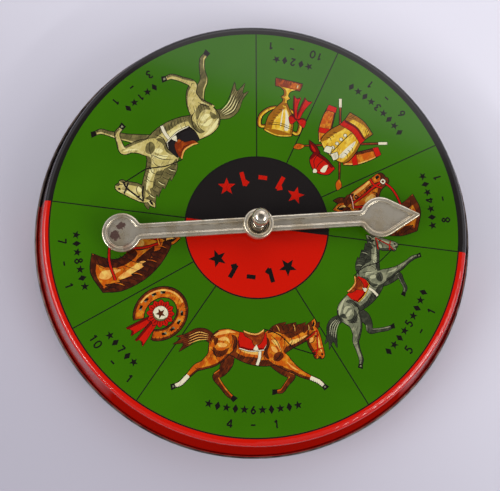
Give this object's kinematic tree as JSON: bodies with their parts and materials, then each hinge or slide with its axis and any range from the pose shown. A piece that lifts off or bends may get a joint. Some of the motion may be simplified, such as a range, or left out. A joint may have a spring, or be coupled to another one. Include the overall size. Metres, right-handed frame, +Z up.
{
  "type": "race game spinner",
  "caption": "Shallow round tin drum with a printed dial and a pressed pointer that is twirled by a ball knob to pick a sector.",
  "frame": {"origin": "centre of the drum on the surface it stands on", "axes": "+Z up along the spindle, -Y towards the player, +X to the player's right"},
  "size_m": [0.23, 0.23, 0.0518],
  "materials": {
    "printed_tin": "gloss printed tinplate",
    "bare_tin": "dull tinplate",
    "brass": "dull brass",
    "steel": "plain steel",
    "fibre": "red fibre",
    "nickel_plate": "aged nickel plate",
    "knob_plate": "polished nickel plate"
  },
  "bodies": {
    "drum": {"dial_pan": "printed_tin", "bearing_cup": "bare_tin", "face_bush": "brass", "cup_bush": "brass"},
    "spinner": {"spindle": "steel", "end_washer": "steel", "thrust_washer": "fibre", "spacer_sleeve": "brass", "pointer": "nickel_plate", "lock_washer": "steel", "ball_knob": "knob_plate"}
  },
  "joints": [
    {"name": "pointer_spin", "type": "hinge", "parent": "drum", "child": "spinner", "pos_m": [0, 0, 0.0225], "axis": [0, 0, 1], "continuous": true}
  ]
}
